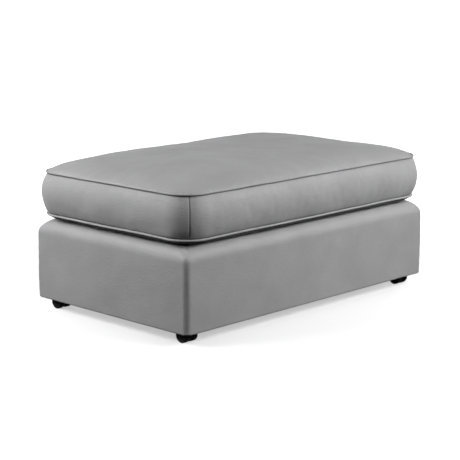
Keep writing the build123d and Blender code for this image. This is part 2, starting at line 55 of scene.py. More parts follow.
# Sizes of the base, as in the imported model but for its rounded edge, 36 mm there
BASE_LENGTH, BASE_WIDTH = 1000 * MM, 612 * MM
BASE_BOTTOM = 32 * MM
DECK_HEIGHT = 258 * MM
BASE_CORNER = 18 * MM
DECK_EDGE = 39 * MM
CORNER_GROWTH = 0.8
DECK_BORDER = 75 * MM
SKIN = 1.5 * MM

# Sizes of the cushion
SEAM_LENGTH, SEAM_WIDTH = 989 * MM, 601 * MM
CUSHION_CORNER = 70 * MM
CUSHION_BOTTOM = 258.3 * MM
WELT_RADIUS = 3.3 * MM
BOTTOM_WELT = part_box("bottom_welt")[0].z + WELT_RADIUS
TOP_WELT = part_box("top_welt")[0].z + WELT_RADIUS
BULGE = 15 * MM
CROWN_RISE = 41.7 * MM
CROWN_POWER = 5.5
CROWN_END, END_REACH = 1.6, 15 * MM
CROWN_GROWTH = 0.6
BELLY_INSET = 60 * MM
BELLY_DROP = 14.4 * MM
SEAM_SHIFT = 9.5 * MM
BOXING_HEIGHT = TOP_WELT - BOTTOM_WELT

# How deep the panels dip at the welts, and how far from them the dips reach
PANEL_TUCK, PANEL_TUCK_REACH = 4.4 * MM, 5 * MM
BOXING_TUCK, BOXING_TUCK_REACH = 6.5 * MM, 2.4 * MM

# Gathers at the welts, and waves as (height, wavelength) in millimetres
LONG_GATHER, SHORT_GATHER = 19 * MM, 10 * MM
GATHER_REACH = 9 * MM
CROWN_FOLD, PANEL_FOLD = 0.75 * MM, 0.6 * MM
CROWN_SWELLS = ((0.7, 150), (0.16, 42))
BOXING_SWELLS = ((0.6, 110), (0.16, 38))
COVER_SWELLS = ((0.55, 210), (0.22, 70))

# Seams: a groove along them, and small dents beside the boxing's
BOXING_GROOVE, BOXING_GROOVE_WIDTH = 1.6 * MM, 1.8 * MM
DENT_DEPTH, DENT_LENGTH, DENT_REACH = 0.5 * MM, 8.5 * MM, 10 * MM
COVER_GROOVE, COVER_GROOVE_WIDTH = 0.7 * MM, 1.7 * MM
DRAG_DEPTH, DRAG_LENGTH, DRAG_REACH = 0.25 * MM, 23 * MM, 26 * MM

# Camera, fitted to the photograph's edges and seams
IMAGE_SIDE = 460
FOCAL_PIXELS = 1419.12
SENSOR = 36.0
CAMERA_YAW = 0.80260
CAMERA_PITCH = 0.2018
CORNER_DEPTH = 3.5055
CORNER_LATERAL = -0.11029
CAMERA_RISE = 0.9975


def link_object(name, data):
    made = bpy.data.objects.new(name, data)
    bpy.context.scene.collection.objects.link(made)
    return made


def make_camera():
    across = Vector((math.cos(CAMERA_YAW), -math.sin(CAMERA_YAW), 0))
    ahead = Vector((math.sin(CAMERA_YAW), math.cos(CAMERA_YAW), 0))
    corner = Vector((-BASE_LENGTH / 2, -BASE_WIDTH / 2, BASE_BOTTOM))
    data = bpy.data.cameras.new("camera")
    data.sensor_width = SENSOR
    data.lens = FOCAL_PIXELS / IMAGE_SIDE * SENSOR
    camera = link_object("camera", data)
    place = corner - CORNER_LATERAL * across - CORNER_DEPTH * ahead
    camera.location = place + Vector((0, 0, CAMERA_RISE))
    camera.rotation_euler = (math.pi / 2 - CAMERA_PITCH, 0, -CAMERA_YAW)
    bpy.context.scene.camera = camera


make_camera()


# Smooth noise, the same on every run
NOISE_WAVES = 14
GATHER_WAVES = 9


def smooth_noise(points, wavelength, seed):
    """A smooth field of about unit size over points, with features of one wavelength."""
    random = np.random.default_rng(seed)
    value = np.zeros(points.shape[:-1])
    for _ in range(NOISE_WAVES):
        direction = random.normal(size=3)
        direction /= np.linalg.norm(direction)
        size = 2 * math.pi / (wavelength * random.uniform(0.7, 1.5))
        value += np.sin(points @ (direction * size) + random.uniform(0, 2 * math.pi))
    return value / math.sqrt(NOISE_WAVES / 2)


def gathers(along, wavelength, seed):
    """Folds of 0 to 1 along a seam, unevenly spaced."""
    random = np.random.default_rng(seed)
    value = np.zeros(along.shape)
    for _ in range(GATHER_WAVES):
        size = 2 * math.pi / (wavelength * random.uniform(0.6, 1.7))
        value += np.sin(along * size + random.uniform(0, 2 * math.pi))
    return np.clip(value / math.sqrt(GATHER_WAVES) + 0.15, 0, None)


# Outlines and surfaces
CORNER_SPREAD = 1.5


class Outline:
    """A rounded rectangle's outline, from the front left corner's middle counterclockwise.

    The counts are of points along a long side, a short side and a corner. A corner's points
    lie closest together at its middle, where a seam runs on the base.
    """

    def __init__(self, long_count, short_count, corner_count):
        ends = [(-1, -1), (1, -1), (1, 1), (-1, 1)]
        eighth = math.radians(45)
        half = corner_count // 2
        rows = []
        self.starts = []
        for side in range(4):
            first, last = ends[side], ends[(side + 1) % 4]
            count = long_count if side % 2 == 0 else short_count
            turn = math.radians(225 + 90 * side)
            self.starts.append(len(rows))
            spots = [(0, eighth * (k / half) ** CORNER_SPREAD) for k in range(half)]
            spots += [(k / count, eighth) for k in range(count)]
            spots += [(1, eighth * (2 - (1 - k / half) ** CORNER_SPREAD)) for k in range(half)]
            for share, angle in spots:
                x, y = (start + (end - start) * share for start, end in zip(first, last))
                rows.append((x, y, math.cos(turn + angle), math.sin(turn + angle)))
        self.rows = np.array(rows)
        self.count = len(rows)

    def ring(self, length, width, radius, height):
        """Points of one level ring."""
        across = self.rows[:, 0] * (length / 2 - radius) + radius * self.rows[:, 2]
        deep = self.rows[:, 1] * (width / 2 - radius) + radius * self.rows[:, 3]
        return np.stack([across, deep, np.full(self.count, height)], axis=-1)

    def side(self, index):
        """Columns of one side, both of its corner seams included: 0 front, 1 right, 2 back, 3 left."""
        start = self.starts[index]
        end = self.starts[index + 1] if index < 3 else self.count
        return np.arange(start, end + 1) % self.count


def quarter_turn(steps):
    """Cosines and sines over a quarter turn."""
    turns = [math.radians(90) * step / steps for step in range(steps + 1)]
    return [(math.cos(turn), math.sin(turn)) for turn in turns]


def ring_lengths(grid):
    """How far along its ring each point of a closed grid lies."""
    step = np.linalg.norm(np.roll(grid, -1, axis=1) - grid, axis=-1)
    return np.concatenate([np.zeros((len(grid), 1)), np.cumsum(step, axis=1)[:, :-1]], axis=1)


def grid_normals(grid):
    """Normals of a grid of closed rings, out of the form when rings rise or go inwards."""
    around = np.roll(grid, -1, axis=1) - np.roll(grid, 1, axis=1)
    across = np.gradient(grid, axis=0)
    normal = np.cross(around, across)
    return normal / np.maximum(np.linalg.norm(normal, axis=-1, keepdims=True), 1e-12)


def cap_faces(outline, first, flip):
    """Faces that close a narrow ring, from its front side straight across to its back side."""
    a, c, b = outline.starts[1], outline.starts[2], outline.starts[3]
    count = outline.count
    faces = []
    pairs = [(i, b - i) for i in range(a + 1)]
    half = (c - a) // 2
    pairs_right = [(a + k, c - k) for k in range(half + 1)]
    pairs_left = [((b + k) % count, (count - k) % count) for k in range((count - b) // 2 + 1)]
    for chain in (pairs, pairs_right, pairs_left):
        for (low, high), (next_low, next_high) in zip(chain, chain[1:]):
            face = [first + i for i in dict.fromkeys((low, next_low, next_high, high))]
            faces.append(face[::-1] if flip else face)
    return faces


def turn_outwards(mesh, added=()):
    """Adds faces to a mesh and turns all its faces outwards."""
    form = bmesh.new()
    form.from_mesh(mesh)
    form.verts.ensure_lookup_table()
    for face in added:
        form.faces.new([form.verts[i] for i in face])
    bmesh.ops.recalc_face_normals(form, faces=form.faces)
    form.to_mesh(mesh)
    form.free()


def close_ends(piece, outline):
    turn_outwards(piece.data, cap_faces(outline, 0, True))


def smooth_object(name, mesh):
    mesh.polygons.foreach_set("use_smooth", [True] * len(mesh.polygons))
    mesh.update()
    return link_object(name, mesh)


def new_object(name, vertices, faces):
    mesh = bpy.data.meshes.new(name)
    mesh.from_pydata([tuple(v) for v in vertices], [], [tuple(int(i) for i in f) for f in faces])
    turn_outwards(mesh)
    return smooth_object(name, mesh)


def object_of(name, form):
    """A new object of a bmesh, which is freed."""
    mesh = bpy.data.meshes.new(name)
    form.to_mesh(mesh)
    form.free()
    return smooth_object(name, mesh)


def quads(rows, columns, closed_rows=False, closed_columns=True):
    """Faces between the neighbouring rows and columns of a grid."""
    faces = []
    for row in range(rows if closed_rows else rows - 1):
        low, high = row * columns, (row + 1) % rows * columns
        for column in range(columns if closed_columns else columns - 1):
            right = (column + 1) % columns
            faces.append((low + column, low + right, high + right, high + column))
    return faces


def thicken(piece, thickness):
    """Gives a sheet its thickness, on the inside."""
    solid = piece.modifiers.new("thickness", "SOLIDIFY")
    solid.thickness = thickness
    solid.offset = -1


def store_painted_shade(piece, depth):
    """Stores painted shade, from 0 to 1, at each vertex: the leather's colour darkens with it in creases and under
    the welts, where shade falls.
    """
    piece.data.attributes.new("painted_shade", "FLOAT", "POINT").data.foreach_set("value", depth.reshape(-1))


def sheet_from_grid(name, grid, closed, facing=None, thickness=SKIN, cap=None, painted_shade=None):
    """A sheet over a grid, with its thickness inside. It faces outwards, or as facing says."""
    rows, columns = grid.shape[:2]
    faces = quads(rows, columns, closed_columns=closed)
    if cap is not None:
        faces += cap_faces(cap, (rows - 1) * columns, False)
    piece = new_object(name, grid.reshape(-1, 3), faces)
    # Painted shade for the leather, where it is given
    if painted_shade is not None:
        store_painted_shade(piece, painted_shade)
    sample = piece.data.polygons[len(piece.data.polygons) // 3]
    x, y, _ = sample.center
    if sample.normal.dot(Vector(facing or (x, y * BASE_LENGTH / BASE_WIDTH, 0))) < 0:
        piece.data.flip_normals()
    if thickness:
        thicken(piece, thickness)
    return piece


def tube(name, points, radius, sides, closed=True):
    """A round tube along points, with its own radius at each point."""
    count = len(points)
    if closed:
        along = np.roll(points, -1, axis=0) - np.roll(points, 1, axis=0)
    else:
        along = np.gradient(points, axis=0)
    along /= np.linalg.norm(along, axis=1, keepdims=True)
    out = np.cross(along, UP)
    out /= np.linalg.norm(out, axis=1, keepdims=True)
    up = np.cross(out, along)
    radius = np.broadcast_to(radius, (count,))[:, None, None]
    turns = (np.arange(sides) * 2 * math.pi / sides)[:, None]
    rings = points[:, None] + radius * np.cos(turns) * out[:, None] + radius * np.sin(turns) * up[:, None]
    faces = [(a, d, c, b) for a, b, c, d in quads(count, sides, closed)]
    if not closed:
        faces.append(tuple(range(sides))[::-1])
        faces.append(tuple((count - 1) * sides + k for k in range(sides)))
    return new_object(name, rings.reshape(-1, 3), faces)


# Materials. A mix node's sockets for colours go by number, because their names are not unique.
MIX_SHARE, MIX_FIRST, MIX_SECOND, MIX_RESULT = 0, 6, 7, 2
# The near-black colour that painted shade darkens the leather towards
PAINTED_SHADE_TONE = 0.012
GRAIN_WARP = 1.2 * MM


class Shader:
    """A small helper for the nodes of a material, or of the world."""

    def __init__(self, name, owner=None):
        self.owner = owner or bpy.data.materials.new(name)
        self.owner.use_nodes = True
        self.tree = self.owner.node_tree
        self.bsdf = self.tree.nodes.get("Principled BSDF")
        self.coordinates = self.node("ShaderNodeTexCoord")
        self.place = self.coordinates.outputs["Object"]

    def node(self, kind, **values):
        """A new node with its settings and the values of its sockets, where _ stands for a space."""
        made = self.tree.nodes.new(kind)
        for key, value in values.items():
            if hasattr(made, key):
                setattr(made, key, value)
            else:
                made.inputs[key.replace("_", " ")].default_value = value
        return made

    def link(self, source, target):
        self.tree.links.new(source, target)

    def stretched(self, scale):
        mapping = self.node("ShaderNodeMapping", Scale=scale)
        self.link(self.place, mapping.inputs["Vector"])
        return mapping.outputs["Vector"]

    def noise(self, scale, detail=3.0, roughness=0.5, vector=None):
        made = self.node("ShaderNodeTexNoise", Scale=scale, Detail=detail, Roughness=roughness)
        self.link(vector or self.place, made.inputs["Vector"])
        return made.outputs["Fac"]

    def cells(self, scale, vector=None):
        made = self.node("ShaderNodeTexVoronoi", feature="SMOOTH_F1", Scale=scale, Smoothness=0.45)
        self.link(vector or self.place, made.inputs["Vector"])
        return made.outputs["Distance"]

    def waves(self, direction, scale, distortion):
        made = self.node("ShaderNodeTexWave", bands_direction=direction, Scale=scale, Distortion=distortion)
        self.link(self.place, made.inputs["Vector"])
        return made.outputs["Fac"]

    def ramp(self, source, low, high, low_value=(0, 0, 0, 1), high_value=(1, 1, 1, 1)):
        made = self.node("ShaderNodeValToRGB")
        for element, position, value in zip(made.color_ramp.elements, (low, high), (low_value, high_value)):
            element.position = position
            element.color = value
        self.link(source, made.inputs["Fac"])
        return made.outputs["Color"]

    def scaled(self, source, low, high):
        made = self.node("ShaderNodeMapRange", To_Min=low, To_Max=high)
        self.link(source, made.inputs["Value"])
        return made.outputs["Result"]

    def bump(self, source, strength, distance, normal=None):
        made = self.node("ShaderNodeBump", Strength=strength, Distance=distance)
        self.link(source, made.inputs["Height"])
        if normal is not None:
            self.link(normal, made.inputs["Normal"])
        return made.outputs["Normal"]

    def mix(self, first, second=None):
        made = self.node("ShaderNodeMix", data_type="RGBA")
        self.link(first, made.inputs[MIX_FIRST])
        if second is not None:
            self.link(second, made.inputs[MIX_SECOND])
        return made

    def finish(self, colour=None, roughness=None, normal=None, **values):
        for socket, source in (("Base Color", colour), ("Roughness", roughness), ("Normal", normal)):
            if source is not None:
                self.link(source, self.bsdf.inputs[socket])
        for key, value in values.items():
            self.bsdf.inputs[key.replace("_", " ")].default_value = value
        return self.owner


def grey(value):
    return (value, value, value * 1.01, 1)


def leather_material():
    made = Shader("grey_leather")
    warp = made.node("ShaderNodeVectorMath", operation="MULTIPLY_ADD")
    drift = made.node("ShaderNodeTexNoise", Scale=220)
    made.link(made.place, drift.inputs["Vector"])
    made.link(drift.outputs["Color"], warp.inputs[0])
    warp.inputs[1].default_value = (GRAIN_WARP,) * 3
    made.link(made.place, warp.inputs[2])
    pebbles = made.cells(620, warp.outputs["Vector"])
    ripples = made.noise(1, 2, 0.5, made.stretched((75, 75, 190)))
    creases = made.noise(1, 4, 0.62, made.stretched((150, 150, 420)))
    pores = made.noise(1900, 2)
    mottle = made.noise(9, 4, 0.55)
    normal = made.bump(ripples, 0.34, 0.0015)
    normal = made.bump(made.ramp(pebbles, 0.05, 0.7), 0.34, 0.0004, normal)
    normal = made.bump(made.ramp(creases, 0.38, 0.62), 0.22, 0.0006, normal)
    normal = made.bump(pores, 0.12, 0.0002, normal)
    surface = made.ramp(mottle, 0.3, 0.7, grey(0.232), grey(0.262))
    # Painted shade: the colour darkens towards near black where the stored painted shade attribute is high
    painted_shade = made.node("ShaderNodeAttribute", attribute_name="painted_shade")
    colour = made.mix(surface)
    made.link(painted_shade.outputs["Fac"], colour.inputs[MIX_SHARE])
    colour.inputs[MIX_SECOND].default_value = grey(PAINTED_SHADE_TONE)
    return made.finish(
        colour.outputs[MIX_RESULT],
        made.scaled(creases, 0.5, 0.6),
        normal,
        Specular_IOR_Level=0.28,
        Sheen_Weight=0.06,
        Sheen_Roughness=0.4,
    )


def plastic_material():
    made = Shader("black_moulded_plastic")
    fine = made.noise(2600, 2)
    flow = made.noise(60, 3)
    return made.finish(
        made.ramp(flow, 0.3, 0.7, grey(0.008), grey(0.014)),
        made.scaled(flow, 0.34, 0.46),
        made.bump(fine, 0.15, 0.0001),
    )


def tread_material():
    made = Shader("black_wheel_plastic")
    scuffs = made.noise(1, 5, 0.65, made.stretched((900, 90, 90)))
    return made.finish(
        made.ramp(scuffs, 0.35, 0.75, grey(0.010), grey(0.024)),
        made.scaled(scuffs, 0.36, 0.6),
        made.bump(scuffs, 0.15, 0.0002),
    )


def steel_material(name, colour, roughness, brushed=(80, 80, 1500)):
    made = Shader(name)
    lines = made.noise(1, 4, 0.6, made.stretched(brushed))
    dull = made.noise(140, 3)
    return made.finish(
        made.ramp(dull, 0.3, 0.7, grey(colour * 0.86), grey(colour)),
        made.scaled(lines, roughness * 0.8, roughness * 1.25),
        made.bump(lines, 0.06, 0.0001),
        Metallic=1.0,
    )


def wood_material(name, light, dark, stretch):
    made = Shader(name)
    grain = made.noise(1, 6, 0.6, made.stretched(stretch))
    plies = made.waves("Z", 90, 1.2)
    mixed = made.mix(made.ramp(grain, 0.3, 0.7, dark, light), made.ramp(plies, 0.2, 0.8, dark, light))
    mixed.inputs[MIX_SHARE].default_value = 0.25
    return made.finish(
        mixed.outputs[MIX_RESULT],
        made.scaled(grain, 0.55, 0.75),
        made.bump(grain, 0.1, 0.0003),
    )


def cloth_material(name, light, dark, threads):
    made = Shader(name)
    weave = made.node("ShaderNodeMath", operation="MULTIPLY")
    for socket, direction in zip(weave.inputs, "XY"):
        made.link(made.waves(direction, threads, 0.6), socket)
    fibres = made.noise(700, 4, 0.6)
    normal = made.bump(weave.outputs[0], 0.3, 0.0004)
    normal = made.bump(fibres, 0.2, 0.0003, normal)
    return made.finish(
        made.ramp(fibres, 0.3, 0.7, dark, light),
        made.scaled(fibres, 0.82, 0.9),
        normal,
        Sheen_Weight=0.15,
    )


def foam_material(name, light, dark, scale):
    made = Shader(name)
    cells = made.cells(scale)
    return made.finish(
        made.ramp(cells, 0.1, 0.8, dark, light),
        made.scaled(cells, 0.9, 0.98),
        made.bump(cells, 0.4, 0.0006),
    )


LEATHER = leather_material()
PLASTIC = plastic_material()
TREAD = tread_material()
BRIGHT_STEEL = steel_material("zinc_plated_steel", 0.62, 0.28)
DARK_STEEL = steel_material("dark_spring_steel", 0.16, 0.36)
NICKEL = steel_material("dark_nickel", 0.32, 0.24, (900, 80, 80))
PLYWOOD = wood_material("birch_plywood", (0.55, 0.38, 0.21, 1), (0.38, 0.24, 0.12, 1), (6, 60, 220))
HARDBOARD = wood_material("hardboard", (0.16, 0.09, 0.05, 1), (0.10, 0.055, 0.03, 1), (120, 120, 120))
PLATFORM_CLOTH = cloth_material("platform_cloth", grey(0.035), grey(0.018), 420)
LINING_CLOTH = cloth_material("black_lining", grey(0.010), grey(0.005), 420)
DUST_CLOTH = cloth_material("dust_cloth", grey(0.016), grey(0.008), 260)
ZIP_TAPE = cloth_material("zip_tape", grey(0.10), grey(0.06), 700)
FOAM = foam_material("cream_foam", (0.78, 0.70, 0.45, 1), (0.62, 0.54, 0.32, 1), 900)
FIBRE = foam_material("white_fibre", grey(0.82), grey(0.66), 300)


def paint(piece, material):
    piece.data.materials.clear()
    piece.data.materials.append(material)


def dress(piece, material, body, slot, *replaced):
    """Gives a new piece its material and body, and hides the nodes that it replaces; its slot is not used."""
    paint(piece, material)
    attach(piece, body)
    if replaced:
        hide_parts(*replaced)


# Cushion. Rows are (length, width, corner radius, height) of level rings.
CUSHION_COUNTS = (280, 152, 80)
cushion = Outline(*CUSHION_COUNTS)


def shrunk(row, depth, drop):
    """A row moved in by a depth and down by a drop."""
    length, width, radius, height = row
    return (length - 2 * depth, width - 2 * depth, max(radius - depth, 1 * MM), height - drop)


def soft_radius(inset):
    """The corner radius, which grows inwards and then eases into what the ring has room for."""
    wanted, room, blend = CUSHION_CORNER + CROWN_GROWTH * inset, 0.9 * (SEAM_WIDTH / 2 - inset), 12 * MM
    return -blend * np.log(np.exp(-wanted / blend) + np.exp(-room / blend))


def crown_row(inset, tuck=PANEL_TUCK):
    """The crown rises more gently from its ends than from its sides."""
    end_inset = inset * (1 + (CROWN_END - 1) * (1 - math.exp(-inset / END_REACH)))
    share = inset / (SEAM_WIDTH / 2)
    rise = WELT_RADIUS + CROWN_RISE * (1 - (1 - share) ** CROWN_POWER)
    rise -= tuck * math.exp(-inset / PANEL_TUCK_REACH)
    return (SEAM_LENGTH - 2 * end_inset, SEAM_WIDTH - 2 * inset, soft_radius(inset), TOP_WELT + rise)


def boxing_row(level, tuck=BOXING_TUCK):
    share = 2 * (level - BOXING_HEIGHT / 2) / (BOXING_HEIGHT - 2 * WELT_RADIUS)
    swell = BULGE * (1 - min(1.0, abs(share)) ** 2)
    inset = -swell + tuck * math.exp(-min(level, BOXING_HEIGHT - level) / BOXING_TUCK_REACH)
    return (SEAM_LENGTH - 2 * inset, SEAM_WIDTH - 2 * inset, CUSHION_CORNER - inset, BOTTOM_WELT + level)


def belly_row(inset, tuck=PANEL_TUCK):
    share = max(0.0, 1 - inset / BELLY_INSET)
    drop = WELT_RADIUS + BELLY_DROP * math.sqrt(1 - share**2) - tuck * math.exp(-inset / PANEL_TUCK_REACH)
    height = max(BOTTOM_WELT - drop, CUSHION_BOTTOM)
    return (SEAM_LENGTH - 2 * inset, SEAM_WIDTH - 2 * inset, soft_radius(inset), height)


def rings_of(rows, outline=cushion):
    return np.array([outline.ring(*row) for row in rows])


def seam_folds(grid, distance, seed, strength):
    """Small gathers that die out away from a welt, stronger round the corners."""
    along = ring_lengths(grid)
    along = along / along[:, -1:] * along[0, -1]
    fold = gathers(along, LONG_GATHER, seed) * 0.6 + gathers(along, SHORT_GATHER, seed + 1) * 0.4
    corner = np.abs(cushion.rows[:, 2] * cushion.rows[:, 3]) * 2
    strength = strength * (0.45 + 1.3 * corner[None, :])
    return -strength * fold * np.exp(-distance[:, None] / GATHER_REACH)


def swells(grid, seed, waves):
    return sum(height * MM * smooth_noise(grid, length * MM, seed + k) for k, (height, length) in enumerate(waves))


def away_from(grid, column):
    """How far each point is from its row's point in one column."""
    return np.linalg.norm(grid - grid[:, column : column + 1], axis=-1)


def groove(away, depth, width):
    return depth * np.exp(-((away / width) ** 2))


NEAR_WELT = [2.4, 3.2, 4.2, 5.4, 7, 9, 11.5, 14.5, 18, 22, 27, 33, 40, 48, 57, 67, 78, 90, 103]
crown_insets = np.concatenate([NEAR_WELT, np.arange(117, 290, 14), [297]]) * MM
belly_insets = np.concatenate([NEAR_WELT[:16], np.arange(85, 290, 24), [297]]) * MM
near = np.array([0.6, 1.5, 2.5, 3.5, 4.6, 6.0, 7.8]) * MM
far = np.linspace(10 * MM, BOXING_HEIGHT - 10 * MM, 34)
boxing_levels = np.concatenate([near, far, BOXING_HEIGHT - near[::-1]])
to_welt = np.minimum(boxing_levels, BOXING_HEIGHT - boxing_levels)


def crown_grid():
    grid = rings_of([crown_row(inset) for inset in crown_insets])
    folds = seam_folds(grid, crown_insets, 11, CROWN_FOLD)
    fade = np.clip((crown_insets - crown_insets[0]) / (30 * MM), 0, 1)[:, None]
    waves = swells(grid, 21, CROWN_SWELLS) * fade + settled(CROWN_KNOTS, crown_insets, crown_moves)
    return grid + grid_normals(grid) * (folds + waves)[..., None]


def boxing_grid(grid):
    folds = seam_folds(grid, boxing_levels, 31, PANEL_FOLD)
    folds = folds + seam_folds(grid, BOXING_HEIGHT - boxing_levels, 37, PANEL_FOLD)
    fade = np.clip(to_welt / (25 * MM), 0, 1)[:, None]
    uneven = 2.5 * smooth_noise(grid, 60 * MM, 43)
    dents = 0.5 + 0.5 * np.sin(grid[..., 2] * 2 * math.pi / DENT_LENGTH + uneven)
    seams = np.zeros(grid.shape[:2])
    for column in seam_columns:
        away = away_from(grid, column)
        seams -= groove(away, BOXING_GROOVE, BOXING_GROOVE_WIDTH)
        seams -= DENT_DEPTH * dents * np.exp(-away / DENT_REACH)
    waves = swells(grid, 41, BOXING_SWELLS) * fade + settled(BOXING_KNOTS, boxing_levels, boxing_moves)
    return grid + grid_normals(grid) * (folds + waves + seams * (0.5 + 0.5 * fade))[..., None]


# Cloth simulation of the closed cover under the filling's pressure, held at its two seams
CLOTH_STEP = 4
CLOTH_FRAMES = 20
CLOTH_SETTINGS = dict(
    vertex_group_mass="seams", quality=6, mass=0.4, air_damping=4, tension_stiffness=40, compression_stiffness=40,
    shear_stiffness=15, bending_stiffness=3, shrink_min=-0.004, use_pressure=True, uniform_pressure_force=4,
)
MOVE_SHARE = 0.5
MOVE_LIMIT = 1.1 * MM
SLOW_WAVES = 6
RIDGE_INSET = SEAM_WIDTH / 2 - 45 * MM
RIDGE_FADE = 110 * MM
FINE_ROWS = 9
CROWN_KNOTS = [0, 7, 15, 24, 34, 45, 57, 70, 85, 101, 118, 136, 155, 175, 196, 218, 240, 262, 282, 297]
CROWN_KNOTS = np.array(CROWN_KNOTS) * MM
BOXING_KNOTS = np.linspace(0, BOXING_HEIGHT, 14)
BELLY_KNOTS = np.array([250, 150, 90, 55, 30, 12]) * MM


def simulate_cover():
    """How far the crown and the boxing move along their normals, on the simulation's own grid."""
    outline = Outline(*(count // CLOTH_STEP for count in CUSHION_COUNTS))
    rows = [belly_row(inset, 0) for inset in BELLY_KNOTS]
    rows += [boxing_row(level, 0) for level in BOXING_KNOTS]
    rows += [crown_row(inset, 0) for inset in CROWN_KNOTS[1:]]
    grid = rings_of(rows, outline)
    piece = sheet_from_grid("cover_in_simulation", grid, True, UP, thickness=0, cap=outline)
    close_ends(piece, outline)
    bottom_seam, top_seam = len(BELLY_KNOTS), len(BELLY_KNOTS) + len(BOXING_KNOTS) - 1
    pins = piece.vertex_groups.new(name="seams")
    held = list(range((bottom_seam + 1) * outline.count))
    held += list(range(top_seam * outline.count, (top_seam + 1) * outline.count))
    pins.add(held, 1.0, "REPLACE")
    cloth = piece.modifiers.new("cloth", "CLOTH")
    for setting, value in CLOTH_SETTINGS.items():
        setattr(cloth.settings, setting, value)
    cloth.settings.effector_weights.gravity = 0
    cloth.collision_settings.use_collision = False
    cloth.point_cache.frame_start, cloth.point_cache.frame_end = 1, CLOTH_FRAMES
    for frame_number in range(1, CLOTH_FRAMES + 1):
        bpy.context.scene.frame_set(frame_number)
    moved = piece.evaluated_get(bpy.context.evaluated_depsgraph_get()).data
    places = np.empty(len(moved.vertices) * 3)
    moved.vertices.foreach_get("co", places)
    bpy.data.objects.remove(piece)
    bpy.context.scene.frame_set(1)
    moves = ((places.reshape(grid.shape) - grid) * grid_normals(grid)).sum(axis=-1)
    waves = np.fft.rfft(moves, axis=1)
    waves[:, 0] = 0
    waves[top_seam:, :SLOW_WAVES] = 0
    moves = MOVE_LIMIT * np.tanh(np.fft.irfft(waves, outline.count, axis=1) * MOVE_SHARE / MOVE_LIMIT)
    to_ridge = np.clip((RIDGE_INSET - CROWN_KNOTS) / RIDGE_FADE, 0, 1)
    ridge_fade = to_ridge * to_ridge * (3 - 2 * to_ridge)
    return moves[top_seam:] * ridge_fade[:, None], moves[bottom_seam : top_seam + 1]


def settled(knots, wanted, moves):
    """The simulation's moves, smoothly at the wanted rows and at all columns."""
    around = np.ones(CLOTH_STEP) / CLOTH_STEP
    across = np.ones(FINE_ROWS) / FINE_ROWS
    pad, edge = 4 * CLOTH_STEP, FINE_ROWS // 2
    wide = np.roll(np.repeat(moves, CLOTH_STEP, axis=1), -(CLOTH_STEP // 2), axis=1)
    dense = np.arange(0, knots[-1] + MM, MM)
    wide = np.array([np.interp(dense, knots, line) for line in wide.T]).T
    for _ in range(2):
        ring = np.concatenate([wide[:, -pad:], wide, wide[:, :pad]], axis=1)
        wide = np.array([np.convolve(line, around, "same") for line in ring])[:, pad:-pad]
    ends = np.concatenate([np.zeros((edge, wide.shape[1])), wide, np.repeat(wide[-1:], edge, axis=0)])
    wide = np.array([np.convolve(line, across, "valid") for line in ends.T])
    return np.array([np.interp(wanted, dense, line) for line in wide]).T


crown_moves, boxing_moves = simulate_cover()
crown = crown_grid()
belly = rings_of([belly_row(inset) for inset in belly_insets])
belly = belly - grid_normals(belly) * seam_folds(belly, belly_insets, 51, PANEL_FOLD)[..., None]

# The boxing's two seams lie a little along the front from its corners' middles
boxing = rings_of([boxing_row(level) for level in boxing_levels])
front = cushion.side(0)
steps = np.linalg.norm(np.diff(boxing[len(boxing) // 2, front], axis=0), axis=1)
front_start = int(front[np.searchsorted(np.cumsum(steps), SEAM_SHIFT)])
front_end = cushion.starts[1] - front_start
seam_columns = (front_start, front_end)
boxing = boxing_grid(boxing)

top_panel = sheet_from_grid("cushion_top", crown, True, UP, cap=cushion)
dress(top_panel, LEATHER, "cushion", "leather", "cushion_top_panel")

bottom_panel = sheet_from_grid("cushion_underside", belly, True, DOWN, cap=cushion)
dress(bottom_panel, LINING_CLOTH, "cushion", "platform_cloth", "cushion_bottom_panel")

# Boxing. Its leather carries painted shade close to the welts and in the grooves of its seams.
ZIP_HALF = 401.5 * MM
WELT_SHADE, SEAM_SHADE = 3.4 * MM, 1.2 * MM
# Painted shade: near black in the creases along the welts, and up to 0.6 of that in the corner seams' grooves
painted_shade_depth = np.exp(-to_welt[:, None] / WELT_SHADE).repeat(cushion.count, axis=1)
for column in seam_columns:
    painted_shade_depth = np.maximum(painted_shade_depth, 0.6 * np.exp(-away_from(boxing, column) / SEAM_SHADE))
panel = slice(front_start, front_end + 1)
piece = sheet_from_grid("boxing_front_panel", boxing[:, panel], False, painted_shade=painted_shade_depth[:, panel])
dress(piece, LEATHER, "cushion", "leather", "boxing_front")

back_columns = cushion.side(2)
back_x = boxing[0, back_columns, 0]
zip_columns = back_columns[np.abs(back_x) <= ZIP_HALF + 2 * MM]
right_tail = back_columns[back_x >= ZIP_HALF - 2 * MM]
left_tail = back_columns[back_x <= -ZIP_HALF + 2 * MM]
right = np.concatenate([np.arange(front_end, cushion.starts[2]), right_tail])
left = np.concatenate([left_tail[:-1], cushion.side(3), np.arange(1, front_start + 1)])
for end, columns in (("right", right), ("left", left)):
    piece = sheet_from_grid(f"boxing_{end}_panel", boxing[:, columns], False, painted_shade=painted_shade_depth[:, columns])
    dress(piece, LEATHER, "cushion", "leather", f"boxing_{end}")

